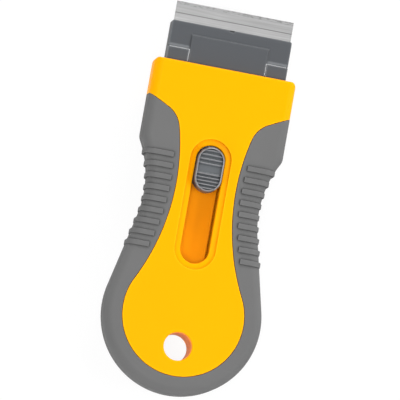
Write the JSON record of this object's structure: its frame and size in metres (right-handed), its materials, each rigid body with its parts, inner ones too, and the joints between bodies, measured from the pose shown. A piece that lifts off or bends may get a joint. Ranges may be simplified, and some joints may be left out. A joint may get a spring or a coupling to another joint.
{
  "type": "retractable scraper",
  "caption": "Hand scraper with a moulded two-part handle, soft ribbed grips, a hang hole and a thumb button that slides a clamped single-edge blade out of the mouth.",
  "frame": {"origin": "middle of the overall length and width, on the plane that the flat of the handle's back lies on", "axes": "+X across the blade, +Y from the round tail to the blade's edge, +Z from the back to the face with the thumb button"},
  "size_m": [0.0508, 0.1244, 0.0157],
  "materials": {
    "yellow_abs": "satin moulded",
    "orange_acetal": "satin moulded",
    "grey_soft_grip": "matt soft-touch",
    "dark_grey_nylon": "matt moulded",
    "grey_button": "satin moulded",
    "blade_steel": "ground",
    "spine_aluminium": "rolled",
    "spring_steel": "cold rolled",
    "zinc_steel": "zinc plated"
  },
  "bodies": {
    "handle": {"front_shell": "yellow_abs", "rear_shell": "yellow_abs", "front_grip": "grey_soft_grip", "rear_grip": "grey_soft_grip", "guide_rail": "orange_acetal", "shell_screw_1": "zinc_steel", "shell_screw_2": "zinc_steel", "shell_screw_3": "zinc_steel", "shell_screw_4": "zinc_steel"},
    "carriage": {"blade_carrier": "dark_grey_nylon", "blade_clamp": "dark_grey_nylon", "razor_blade": "blade_steel", "blade_spine": "spine_aluminium", "lock_spring": "spring_steel", "spring_rivet": "zinc_steel"},
    "button": {"slide_button": "grey_button"}
  },
  "joints": [
    {"name": "carriage_slide", "type": "slide", "parent": "handle", "child": "carriage", "axis": [0, -1, 0], "range_m": [0, 0.0222], "deforming": ["lock_spring"]},
    {"name": "button_press", "type": "slide", "parent": "carriage", "child": "button", "axis": [0, 0, -1], "range_m": [0, 0.001], "stiffness_N_per_m": 200, "springref_m": -0.0005, "deforming": ["lock_spring"]}
  ]
}
